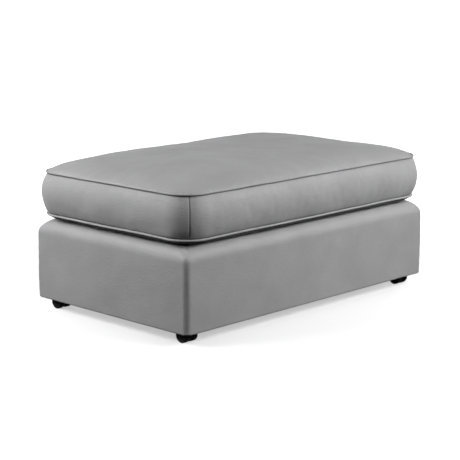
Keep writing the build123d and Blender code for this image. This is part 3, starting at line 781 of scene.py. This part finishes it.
# Back strips, each folded in along the zip
ZIP_MIDDLE = (TOP_WELT + BOTTOM_WELT) / 2
ZIP_MOUTH = 18 * MM
STRIP_FOLD, STRIP_SKIN = 2.5 * MM, 1.2 * MM
zip_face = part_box("zip_chain")[1].y - 1.4 * MM
strip_side = boxing[:, zip_columns]
for end, node, direction in (("top", "upper", 1), ("bottom", "lower", -1)):
    edge = ZIP_MIDDLE + direction * ZIP_MOUTH / 2
    rows = strip_side[direction * (strip_side[:, 0, 2] - edge) > STRIP_FOLD + 1 * MM][::direction]
    outer = rows[0]
    folds = []
    for cosine, sine in quarter_turn(6):
        bent = outer.copy()
        bent[:, 2] = edge + direction * STRIP_FOLD * (1 - sine)
        bent[:, 1] = outer[:, 1] - STRIP_FOLD * (1 - cosine)
        folds.append(bent)
    tail = folds[-1].copy()
    tail[:, 1] = zip_face + 0.6 * MM
    folds.append(tail)
    grid = np.array(folds[::-1] + list(rows))
    piece = sheet_from_grid(f"boxing_back_{end}", grid, False, thickness=STRIP_SKIN)
    dress(piece, LEATHER, "cushion", "leather", f"boxing_back_{node}")

# Welts: a piped cord sewn into each seam, with painted shade on its underside
WELT_SIDES = 14
WELT_PROUD = 0.2 * MM
WELT_WANDER = np.array([0.6, 0.6, 1.0]) * 0.35 * MM
# Painted shade on each welt's lower side, strongest at its bottom
under = np.clip((-np.sin(np.arange(WELT_SIDES) * 2 * math.pi / WELT_SIDES) - 0.3) / 0.5, 0, 0.8)
for side, height, seed in (("top", TOP_WELT, 61), ("bottom", BOTTOM_WELT, 67)):
    line = cushion.ring(
        SEAM_LENGTH + 2 * WELT_PROUD, SEAM_WIDTH + 2 * WELT_PROUD, CUSHION_CORNER + WELT_PROUD, height
    )
    along = ring_lengths(line[None])[0]
    line = line + WELT_WANDER * np.stack([smooth_noise(line, 160 * MM, seed + k) for k in (1, 2, 3)], axis=-1)
    piece = tube(f"welt_{side}", line, WELT_RADIUS * (1 - 0.07 * gathers(along, 14 * MM, seed)), WELT_SIDES)
    store_painted_shade(piece, np.tile(under, len(line)))
    dress(piece, LEATHER, "cushion", "leather", f"{side}_welt")

# Filling: foam core in its fibre wrap, seen only with the cover open
FILLING_DEPTH = 4.2 * MM
CHANNEL_HALF = 18 * MM
filling_outline = Outline(90, 50, 16)
rows = [shrunk(belly_row(i, 0), FILLING_DEPTH, -FILLING_DEPTH) for i in belly_insets[::-1][::2]]
rows += [shrunk(boxing_row(v, 0), FILLING_DEPTH, 0) for v in np.linspace(0.06, 0.94, 14) * BOXING_HEIGHT]
rows += [shrunk(crown_row(i, 0), FILLING_DEPTH, FILLING_DEPTH) for i in crown_insets[2:]]
filling_grid = rings_of(rows, filling_outline)
channel = (np.abs(filling_grid[..., 0]) < ZIP_HALF + 4 * MM) & (filling_grid[..., 1] > 0.25)
channel &= np.abs(filling_grid[..., 2] - ZIP_MIDDLE) < CHANNEL_HALF
filling_grid[channel, 1] = np.minimum(filling_grid[channel, 1], zip_face - 3.2 * MM)
filling = sheet_from_grid("cushion_filling", filling_grid, True, UP, thickness=0, cap=filling_outline)
close_ends(filling, filling_outline)
dress(filling, FIBRE, "cushion", "polyester_fibre", "cushion_core", "cushion_wrap")


# Base cover
base = Outline(250, 150, 32)
STEM_X, STEM_Y = 451 * MM, 242 * MM
HOLE = 41 * MM
HEM_RADIUS = 5 * MM
HEM_INSETS = (22, 16, 11, 7)
HEM_SPARES = (0.2, 0.6, 1.0, 1.4)


def base_rings(rows):
    """Rings of the base, of (inset, corner radius, height)."""
    return rings_of([(BASE_LENGTH - 2 * row[0], BASE_WIDTH - 2 * row[0], *row[1:]) for row in rows], base)


def cover_rows(depth=0.0, bottom=BASE_BOTTOM, hem=True):
    corner, edge = BASE_CORNER - depth, DECK_EDGE - depth
    rows = []
    if hem:
        rows += [(inset * MM, 6 * MM, bottom) for inset in HEM_INSETS]
        for cosine, sine in quarter_turn(6):
            rows.append((HEM_RADIUS * (1 - sine), corner, bottom + HEM_RADIUS * (1 - cosine)))
        bottom += 9 * MM
    rows += [(depth, corner, height) for height in np.arange(bottom, DECK_HEIGHT - DECK_EDGE - 4 * MM, 6 * MM)]
    for cosine, sine in quarter_turn(18):
        inset = edge * (1 - cosine)
        rows.append((depth + inset, corner + CORNER_GROWTH * inset, DECK_HEIGHT - DECK_EDGE + edge * sine))
    return rows


rows = cover_rows()
last_inset, last_radius, _ = rows[-1]
for share in (0.25, 0.5, 0.75, 1):
    rows.append((last_inset + (DECK_BORDER - last_inset) * share, last_radius - 2 * MM * share, DECK_HEIGHT))
insets, _, heights = np.array(rows).T
cover = base_rings(rows)
steady = np.clip((heights - BASE_BOTTOM) / (14 * MM), 0, 1) * np.clip((DECK_BORDER - insets) / (18 * MM), 0, 1)
moves = swells(cover, 71, COVER_SWELLS)
for start in base.starts:
    away = away_from(cover, start)
    moves -= groove(away, COVER_GROOVE, COVER_GROOVE_WIDTH)
    tilted = cover[..., 2] * 0.8 + away * 0.6
    moves += DRAG_DEPTH * np.sin(tilted * 2 * math.pi / DRAG_LENGTH) * np.exp(-away / DRAG_REACH)
cover = cover + grid_normals(cover) * (moves * steady[:, None])[..., None]

# The hem is cut back to each castor's turning circle
for row, spare in enumerate(HEM_SPARES):
    reach = HOLE + spare * MM
    x, beside = cover[row, :, 0], np.abs(np.abs(cover[row, :, 1]) - STEM_Y)
    limit = STEM_X + np.sqrt(np.maximum(reach**2 - beside**2, 0))
    close = (beside < reach) & (np.abs(x) > STEM_X)
    cover[row, :, 0] = np.where(close, np.sign(x) * np.maximum(np.abs(x), limit), x)

for index, side in enumerate(("front", "right", "back", "left")):
    piece = sheet_from_grid(f"base_cover_{side}", cover[:, base.side(index)], False)
    dress(piece, LEATHER, "base", "leather", f"cover_{side}")

# Padding under the base's cover, in one closed form
PADDING_DEPTH = 3.2 * MM
PADDING_TOP, DECK_PAD_BOTTOM, PADDING_BOTTOM = DECK_HEIGHT - PADDING_DEPTH, 222.6 * MM, 34 * MM
inner = [(300, 5), (220, 40), (150, 40), (90, 40), (30, 20), (6.3, 8)]
rows = [(inset * MM, radius * MM, DECK_PAD_BOTTOM) for inset, radius in inner]
rows += [(rows[-1][0], rows[-1][1], height) for height in (120 * MM, PADDING_BOTTOM)]
rows += cover_rows(PADDING_DEPTH, PADDING_BOTTOM, hem=False)
rows += [(inset * MM, radius * MM, PADDING_TOP) for inset, radius in ((90, 50), (150, 50), (220, 50), (300, 5))]
padding = sheet_from_grid("base_padding", base_rings(rows), True, UP, thickness=0, cap=base)
close_ends(padding, base)
dress(padding, FOAM, "base", "foam", "side_padding", "edge_roll", "deck_pad")


# Deck cloth and dust cover
DECK_LENGTH, DECK_WIDTH, DECK_CORNER = 852, 464, 38


def deck_platform():
    outline = Outline(140, 80, 24)
    insets = [0, 2, 5, 10, *range(15, 211, 15), 229]
    sizes = [(DECK_LENGTH - 2 * i, DECK_WIDTH - 2 * i, max(DECK_CORNER - i, 4)) for i in insets]
    grid = rings_of([(*(size * MM for size in row), DECK_HEIGHT) for row in sizes], outline)
    fade = np.clip(np.array(insets) / 30, 0, 1)[:, None]
    grid[..., 2] += fade * 0.6 * MM * (smooth_noise(grid, 90 * MM, 81) * 0.4 - 0.6)
    piece = sheet_from_grid("deck_platform", grid, True, UP, thickness=1.0 * MM, cap=outline)
    dress(piece, PLATFORM_CLOTH, "base", "platform_cloth", "deck_cloth")


CLOTH_LENGTH, CLOTH_WIDTH = 970 * MM, 582 * MM
CLOTH_FACE = 31.2 * MM


def dust_sheet():
    """The black cloth under the base, with a hole round each castor."""
    step = 5 * MM
    columns, rows = round(CLOTH_LENGTH / step) + 1, round(CLOTH_WIDTH / step) + 1
    x, y = np.meshgrid(np.linspace(-0.5, 0.5, columns) * CLOTH_LENGTH, np.linspace(-0.5, 0.5, rows) * CLOTH_WIDTH)
    points = np.stack([x, y, np.full_like(x, CLOTH_FACE)], axis=-1)
    edge = np.minimum(CLOTH_LENGTH / 2 - np.abs(x), CLOTH_WIDTH / 2 - np.abs(y))
    reach = np.hypot(np.abs(x) - STEM_X, np.abs(y) - STEM_Y)
    loose = np.clip((edge - 16 * MM) / (60 * MM), 0, 1) * np.clip((reach - 55 * MM) / (60 * MM), 0, 1)
    loose *= np.clip(np.abs(x) / (70 * MM), 0, 1)
    points[..., 2] -= loose * (1.1 * MM + 0.5 * MM * smooth_noise(points, 120 * MM, 91))
    gone = reach < HOLE
    rim = ~gone & np.any([np.roll(gone, shift, axis) for axis in (0, 1) for shift in (-1, 1)], axis=0)
    for axis, centre in ((0, STEM_X), (1, STEM_Y)):
        middle = np.sign(points[..., axis]) * centre
        moved = middle + (points[..., axis] - middle) * HOLE / np.maximum(reach, step)
        points[..., axis] = np.where(rim, moved, points[..., axis])
    index = np.full(gone.shape, -1)
    index[~gone] = np.arange((~gone).sum())
    faces = [[i for i in index.flat[list(face)] if i >= 0] for face in quads(rows, columns, closed_columns=False)]
    piece = new_object("underside_cloth", points[~gone], [face for face in faces if len(face) >= 3])
    if piece.data.polygons[0].normal.z > 0:
        piece.data.flip_normals()
    thicken(piece, 0.8 * MM)
    dress(piece, DUST_CLOTH, "base", "dust_cloth", "dust_cover")


def instances(name, template, places):
    """One mesh of many copies of a piece, each at a 4 by 4 matrix. The piece is removed."""
    vertices = np.array([(*v.co, 1) for v in template.data.vertices])
    faces = [tuple(f.vertices) for f in template.data.polygons]
    bpy.data.objects.remove(template)
    all_vertices, all_faces = [], []
    for count, place in enumerate(places):
        all_vertices.append((vertices @ np.array(place).T)[:, :3])
        all_faces += [tuple(i + count * len(vertices) for i in face) for face in faces]
    return new_object(name, np.concatenate(all_vertices), all_faces)


STAPLE_HALF = [(5.2, 0.3), (5.0, -0.1), (4.6, -0.35)]
STAPLE_INSET = 7 * MM
STAPLE_TWIST = 0.09


def staples():
    wire = [(-x, 0, z) for x, z in STAPLE_HALF] + [(0, 0, -0.4)] + [(x, 0, z) for x, z in STAPLE_HALF[::-1]]
    template = tube("staple", np.array(wire) * MM, 0.45 * MM, 8, closed=False)
    random = np.random.default_rng(101)
    half_length, half_width = CLOTH_LENGTH / 2 - STAPLE_INSET, CLOTH_WIDTH / 2 - STAPLE_INSET
    spots = []
    for sign in (-1, 1):
        for x in np.linspace(-half_length + 14 * MM, half_length - 14 * MM, 22):
            spots.append((x, sign * half_width, random.normal(0, STAPLE_TWIST)))
        for y in np.linspace(-half_width + 22 * MM, half_width - 22 * MM, 13):
            spots.append((sign * half_length, y, math.pi / 2 + random.normal(0, STAPLE_TWIST)))
    places = []
    for x, y, turn in spots:
        if math.hypot(abs(x) - STEM_X, abs(y) - STEM_Y) > HOLE + 4 * MM:
            places.append(Matrix.Translation((x, y, CLOTH_FACE)) @ Matrix.Rotation(turn, 4, "Z"))
    dress(instances("cloth_staples", template, places), BRIGHT_STEEL, "base", "zinc_steel")


def soft_box(size, bevel, centre):
    """A box with rounded edges, its size and bevel in millimetres."""
    form = bmesh.new()
    bmesh.ops.create_cube(form, size=1)
    bmesh.ops.scale(form, vec=[side * MM for side in size], verts=form.verts)
    bmesh.ops.bevel(form, geom=form.edges[:], offset=bevel * MM, segments=3, affect="EDGES", profile=0.5)
    bmesh.ops.translate(form, vec=centre, verts=form.verts)
    return object_of("soft_box", form)


def flat_loop(points, radius, sides):
    """A closed wire loop that lies in a plane across Y."""
    piece = tube("loop", points[:, [0, 2, 1]], radius, sides)
    for vertex in piece.data.vertices:
        x, z, y = vertex.co
        vertex.co = (x, y, z)
    piece.data.flip_normals()
    return piece


# Zip: two woven tapes under a nylon coil, and its slider
TOOTH_PITCH = 2.4 * MM
TOOTH = [(0, 0, -0.53), (0.05, 0.35, -0.18), (0.1, 0.55, 0.42), (0.1, 0.55, 1.32), (0.05, 0.3, 1.92), (0, 0, 2.17)]

# The slider's plates, wings and bridge in millimetres: size, bevel, and place over its face and its middle
SLIDER_BOXES = (
    ((11.6, 1.0, 8.8), 0.45, 1.9, 0),
    ((9.5, 1.2, 6.2), 0.5, 2.7, 0),
    ((11.6, 2.2, 1.0), 0.35, 1.2, 3.9),
    ((11.6, 2.2, 1.0), 0.35, 1.2, -3.9),
    ((7.0, 0.9, 1.8), 0.3, 3.8, 0),
)
RING_POINTS = 24


def zip_pieces():
    low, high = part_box("zip_chain")
    tape_face = low.y + 1.0 * MM
    x, z = np.meshgrid(np.linspace(low.x, high.x, 260), np.linspace(low.z, high.z, 17))
    grid = np.stack([x, np.zeros_like(x), z], axis=-1)
    grid[..., 1] = tape_face - 0.15 * MM + 0.12 * MM * smooth_noise(grid, 25 * MM, 111)
    piece = sheet_from_grid("zip_tapes", grid, False, thickness=0.7 * MM)
    dress(piece, ZIP_TAPE, "cushion", "zip_tape", "zip_chain")
    template = tube("tooth", np.array(TOOTH) * MM, 0.5 * MM, 6, closed=False)
    places = []
    for k in range(int((high.x - low.x - 6 * MM) / TOOTH_PITCH)):
        for flip, ahead in ((1, 0), (-1, 0.5)):
            along = low.x + 3 * MM + TOOTH_PITCH * (k + ahead)
            shift = (along, tape_face + 0.45 * MM, (low.z + high.z) / 2)
            places.append(Matrix.Translation(shift) @ Matrix.Diagonal((1, 1, flip, 1)))
    dress(instances("zip_coil", template, places), ZIP_TAPE, "cushion", "zip_tape")
    low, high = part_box("zip_slider")
    centre = (low + high) / 2
    body_x = high.x - 6 * MM
    parts = []
    for size, bevel, ahead, up in SLIDER_BOXES:
        parts.append(soft_box(size, bevel, (body_x, low.y + ahead * MM, centre.z + up * MM)))
    turns = (np.arange(RING_POINTS) * 2 * math.pi / RING_POINTS)[:, None]
    ring = np.array((body_x - 6 * MM, high.y - 0.6 * MM, centre.z))
    ring = ring + np.cos(turns) * (2.2 * MM, 0, 0) + np.sin(turns) * (0, 0, 2.0 * MM)
    parts.append(flat_loop(ring, 0.45 * MM, 8))
    parts.append(soft_box((13.0, 0.9, 5.6), 0.42, (low.x + 6.6 * MM, high.y - 0.5 * MM, centre.z)))
    form = bmesh.new()
    for part in parts:
        form.from_mesh(part.data)
        bpy.data.objects.remove(part)
    dress(object_of("zip_pull", form), NICKEL, "zip_slider", "zip_metal", "zip_slider")


# Castors
def lathe(name, profile, segments, place):
    """A turned form about the X axis: profile of (along the axis, radius), open ends on the axis."""
    turns = np.arange(segments) * 2 * math.pi / segments
    along, radius = np.array(profile).T[..., None]
    rings = np.broadcast_arrays(along, radius * np.cos(turns), radius * np.sin(turns))
    vertices = np.stack(rings, axis=-1).reshape(-1, 3) + np.array(place)
    last = (len(profile) - 1) * segments
    ends = [range(segments), range(last, last + segments)]
    return new_object(name, vertices, quads(len(profile), segments) + ends)


# A wheel's profile, outwards from its face at the hood: (along the axis, radius) in millimetres
WHEEL_SEGMENTS = 56
WHEEL_PROFILE = [
    (13.4, 3.02), (0, 3.02), (0, 5.5), (0.8, 6.2), (0.8, 15.2), (0, 16), (0, 18.9), (0.2, 19.5), (0.7, 19.9),
    (1.3, 20), (3.4, 20), (3.6, 19.8), (3.9, 19.8), (4.1, 20), (11.4, 20), (11.6, 19.8), (11.9, 19.8),
    (12.1, 20), (13.4, 19.95), (14.4, 19.65), (15.2, 19.0), (15.75, 18.1), (16, 17.0), (16, 16.2), (15.8, 15.8),
    (14.5, 15.3), (14.2, 14.8), (14.2, 9.2), (14.4, 8.6), (15.1, 8.0), (15.35, 7.6), (15.55, 6.5), (15.6, 0.6),
]


def castor_pieces():
    for corner, end in (("front_left", -1), ("front_right", 1), ("back_left", -1), ("back_right", 1)):
        for wheel, side in (("outer", end), ("inner", -end)):
            name = f"wheel_{wheel}_{corner}"
            low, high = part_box(name)
            centre = (low + high) / 2
            inner_face = low.x if side > 0 else high.x
            profile = [(along * side * MM, radius * MM) for along, radius in WHEEL_PROFILE]
            piece = lathe(f"castor_{name}", profile, WHEEL_SEGMENTS, (inner_face, centre.y, centre.z))
            dress(piece, TREAD, name, "castor_plastic", name)


deck_platform()
dust_sheet()
staples()
zip_pieces()
castor_pieces()

NODE_MATERIALS = [
    (("front_rail", "back_rail", "left_rail", "right_rail", "centre_rail", "corner_block"), PLYWOOD),
    (("side_boards",), HARDBOARD),
    (("frame_screws", "castor_stem", "castor_axle", "castor_socket"), BRIGHT_STEEL),
    (("sinuous_springs", "spring_clips"), DARK_STEEL),
    (("castor_housing",), PLASTIC),
]
for starts, material in NODE_MATERIALS:
    for name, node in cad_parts.items():
        if name.startswith(starts):
            paint(node, material)


# Studio: a white floor and backdrop, soft boxes beside the camera, and two low fills behind
LIGHT_DISTANCE = 2.6
LIGHT_AIM = Vector((0, 0, 0.2))
KEY_ELEVATION, FILL_ELEVATION, GLOSS_ELEVATION = 29, 6, 40
KEY_SIZE, FILL_SIZE = (1.8, 1.0), (1.6, 0.5)
LIGHTS = (
    ("soft_box_left", 149, KEY_ELEVATION, KEY_SIZE, 88),
    ("soft_box_right", 290, KEY_ELEVATION, KEY_SIZE, 90),
    ("fill_back", 80, FILL_ELEVATION, FILL_SIZE, 46),
    ("fill_end", 10, FILL_ELEVATION, FILL_SIZE, 46),
    ("gloss_left", 150, GLOSS_ELEVATION, KEY_SIZE, 62),
    ("gloss_right", 294, GLOSS_ELEVATION, KEY_SIZE, 62),
)
FLOOR_HALF = 30
BACKDROP_SIDES, BACKDROP_RADIUS, BACKDROP_HEIGHT = 48, 0.98 * FLOOR_HALF, 25


def area_light(name, azimuth, elevation, size, power):
    """A soft box that gives either the even light or, as a gloss light, the highlights alone."""
    data = bpy.data.lights.new(name, "AREA")
    data.shape = "RECTANGLE"
    data.size, data.size_y = size
    data.energy = power
    light = link_object(name, data)
    gloss = elevation == GLOSS_ELEVATION
    turn, lift = math.radians(azimuth), math.radians(elevation)
    flat = math.cos(lift)
    direction = Vector((flat * math.cos(turn), flat * math.sin(turn), math.sin(lift)))
    light.location = LIGHT_AIM + LIGHT_DISTANCE * direction
    light.rotation_euler = (LIGHT_AIM - light.location).to_track_quat("-Z", "Y").to_euler()
    light.visible_camera = False
    light.visible_glossy = gloss
    light.visible_diffuse = not gloss


def stage_surface(name, vertices, faces, diffuse, glow):
    """A white part of the studio, which only the camera sees, so that the ottoman keeps its shading."""
    piece = new_object(name, vertices, faces)
    made = Shader(name + "_paint")
    tone = made.ramp(made.noise(2.5), 0.3, 0.7, (diffuse * 0.98,) * 3 + (1,), (diffuse,) * 3 + (1,))
    made.finish(tone, Roughness=0.9, Specular_IOR_Level=0.0, Emission_Color=(1, 1, 1, 1))
    reach = made.node("ShaderNodeVectorMath", operation="LENGTH")
    made.link(made.place, reach.inputs[0])
    fade = made.node("ShaderNodeMapRange", From_Min=0.7, From_Max=2.2, To_Min=glow[0], To_Max=glow[1])
    made.link(reach.outputs["Value"], fade.inputs["Value"])
    made.link(fade.outputs["Result"], made.bsdf.inputs["Emission Strength"])
    piece.data.materials.append(made.owner)
    piece.visible_diffuse = False
    piece.visible_glossy = False
    return piece


def make_world():
    """A dim surround, a little brighter from above."""
    made = Shader("studio", bpy.data.worlds.new("studio"))
    split = made.node("ShaderNodeSeparateXYZ")
    height = made.node("ShaderNodeMapRange", From_Min=-1)
    made.link(made.coordinates.outputs["Generated"], split.inputs[0])
    made.link(split.outputs["Z"], height.inputs["Value"])
    background = made.tree.nodes["Background"]
    background.inputs["Strength"].default_value = 0.8
    tone = made.ramp(height.outputs["Result"], 0.46, 0.56, (0.04, 0.04, 0.04, 1), (0.10, 0.10, 0.10, 1))
    made.link(tone, background.inputs["Color"])
    bpy.context.scene.world = made.owner


def make_studio():
    corners = [(x * FLOOR_HALF, y * FLOOR_HALF, 0) for x, y in ((-1, -1), (1, -1), (1, 1), (-1, 1))]
    stage_surface("floor", corners, [(0, 1, 2, 3)], 0.45, (0.5, 1.05))
    turns = np.arange(BACKDROP_SIDES) * 2 * math.pi / BACKDROP_SIDES
    rim = [(BACKDROP_RADIUS * math.cos(turn), BACKDROP_RADIUS * math.sin(turn)) for turn in turns]
    wall = [(x, y, z) for z in (-0.5, BACKDROP_HEIGHT) for x, y in rim]
    backdrop = stage_surface("backdrop", wall, quads(2, BACKDROP_SIDES), 0.0, (1.0, 1.05))
    backdrop.visible_shadow = False
    make_world()
    for light in LIGHTS:
        area_light(*light)
    view = bpy.context.scene.view_settings
    view.view_transform = "Standard"
    view.look = "None"


make_studio()
